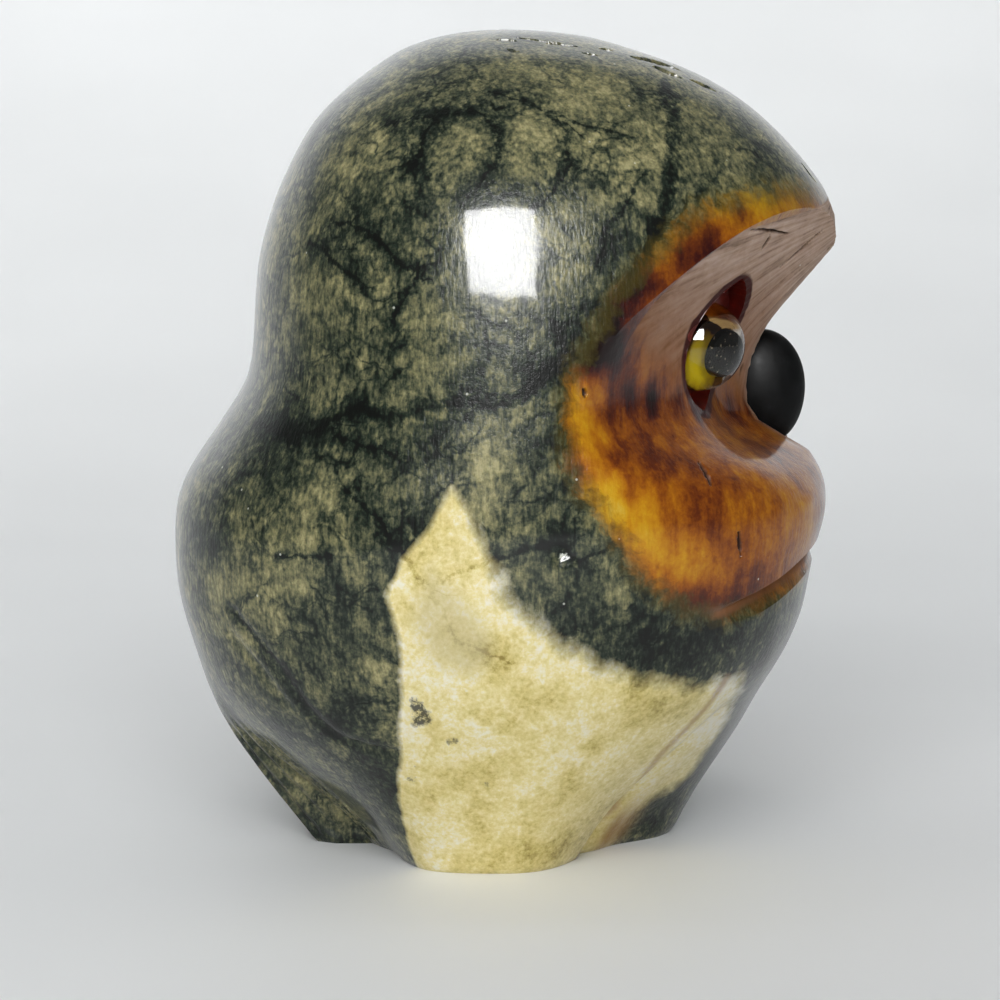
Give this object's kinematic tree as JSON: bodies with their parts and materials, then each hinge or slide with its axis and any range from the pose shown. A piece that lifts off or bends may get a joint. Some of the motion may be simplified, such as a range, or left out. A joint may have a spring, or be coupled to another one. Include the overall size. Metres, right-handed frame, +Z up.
{
  "type": "alabaster owl figurine",
  "caption": "Plump carved alabaster owl with a hollowed face, domed glass eyes in almond sockets and a black stone beak, standing on its own flat underside.",
  "frame": {"origin": "on the surface the owl stands on, at the middle of its width and depth", "axes": "+Z up, the owl faces -Y, its right side towards -X"},
  "size_m": [0.0738, 0.0787, 0.0964],
  "materials": {
    "alabaster": "polished and waxed, dark veined green grey, cream below, dyed amber about the face",
    "eye_glass": "clear domed glass over a yellow iris and a black pupil",
    "black_stone": "black stone, half polished"
  },
  "bodies": {
    "root": {"carved_body": "alabaster", "right_eye": "eye_glass", "left_eye": "eye_glass", "beak": "black_stone"}
  },
  "joints": []
}
